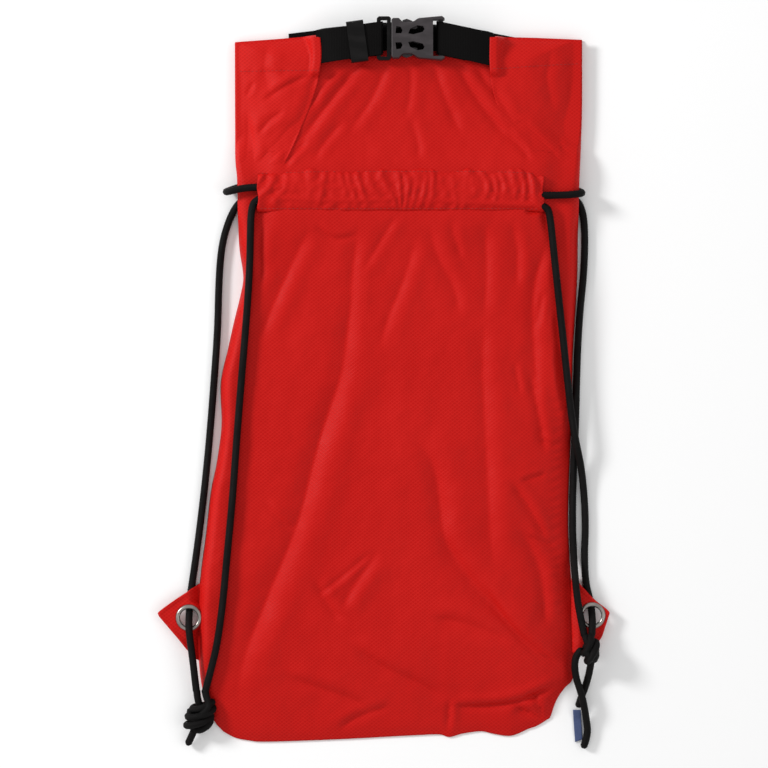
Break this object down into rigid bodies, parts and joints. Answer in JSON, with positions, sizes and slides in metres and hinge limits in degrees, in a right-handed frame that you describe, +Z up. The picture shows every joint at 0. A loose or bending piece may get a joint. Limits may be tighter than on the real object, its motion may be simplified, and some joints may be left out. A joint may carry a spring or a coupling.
{
  "type": "roll-top drawstring bag",
  "caption": "Flat empty nylon dry bag with a buckled roll-top, two drawcord channels and cord shoulder straps tied at eyelet tabs.",
  "frame": {"origin": "middle of the footprint of the bag without its cords, on the surface that it lies on", "axes": "+Z up out of the surface, +Y towards the mouth, +X to the right with the front panel facing up"},
  "size_m": [0.3412, 0.5546, 0.0256],
  "materials": {
    "shell_fabric": "thin coated ripstop nylon with a fine diamond grid, soft sheen",
    "webbing": "flat woven polypropylene webbing",
    "cord": "braided polyester cord",
    "buckle": "moulded acetal, fine satin grain",
    "eyelet": "nickel-plated brass, lightly rubbed",
    "tag": "plain folded woven label"
  },
  "bodies": {
    "bag": {"back_cord_channel": "shell_fabric", "back_panel": "shell_fabric", "bottom_panel": "shell_fabric", "cord_end_tag": "tag", "cord_left_in_back_channel": "cord", "cord_left_in_front_channel": "cord", "cord_left_inner_run": "cord", "cord_left_outer_run": "cord", "cord_left_side_loop": "cord", "cord_left_tail": "cord", "cord_right_in_back_channel": "cord", "cord_right_in_front_channel": "cord", "cord_right_inner_run": "cord", "cord_right_outer_run": "cord", "cord_right_side_loop": "cord", "cord_right_tail_back": "cord", "cord_right_tail_front": "cord", "eyelet_left": "eyelet", "eyelet_right": "eyelet", "front_cord_channel": "shell_fabric", "front_panel": "shell_fabric", "knot_left": "cord", "knot_right": "cord", "side_gusset_left": "shell_fabric", "side_gusset_right": "shell_fabric", "tab_left": "shell_fabric", "tab_right": "shell_fabric", "washer_left": "eyelet", "washer_right": "eyelet"},
    "roll_top": {"neck_back": "shell_fabric", "neck_front": "shell_fabric", "neck_side_left": "shell_fabric", "neck_side_right": "shell_fabric", "mouth_stiffener": "webbing", "flap_left": "shell_fabric", "flap_right": "shell_fabric", "strap_left": "webbing", "strap_right": "webbing", "buckle_socket": "buckle"},
    "buckle_insert": {"buckle_insert": "buckle"},
    "prong_upper": {"prong_upper": "buckle"},
    "prong_lower": {"prong_lower": "buckle"},
    "strap_keeper": {"strap_keeper": "buckle"}
  },
  "joints": [
    {"name": "roll_top_fold", "type": "hinge", "parent": "bag", "child": "roll_top", "pos_m": [0, 0.178, 0.0207], "axis": [1, 0, 0], "range_deg": [0, 180]},
    {"name": "buckle_release", "type": "slide", "parent": "roll_top", "child": "buckle_insert", "axis": [-1, 0, 0], "range_m": [0, 0.024], "deforming": ["strap_left", "prong_upper", "prong_lower"]},
    {"name": "prong_upper_press", "type": "hinge", "parent": "buckle_insert", "child": "prong_upper", "pos_m": [0.0056, 0.2666, 0.0201], "axis": [0, 0, -1], "range_deg": [0, 8], "stiffness_Nm_per_rad": 0.6},
    {"name": "prong_lower_press", "type": "hinge", "parent": "buckle_insert", "child": "prong_lower", "pos_m": [0.0056, 0.2484, 0.0201], "axis": [0, 0, 1], "range_deg": [0, 8], "stiffness_Nm_per_rad": 0.6},
    {"name": "strap_keeper_slide", "type": "slide", "parent": "buckle_insert", "child": "strap_keeper", "axis": [-0.9903, -0.1392, 0], "range_m": [-0.004, 0.01]}
  ]
}
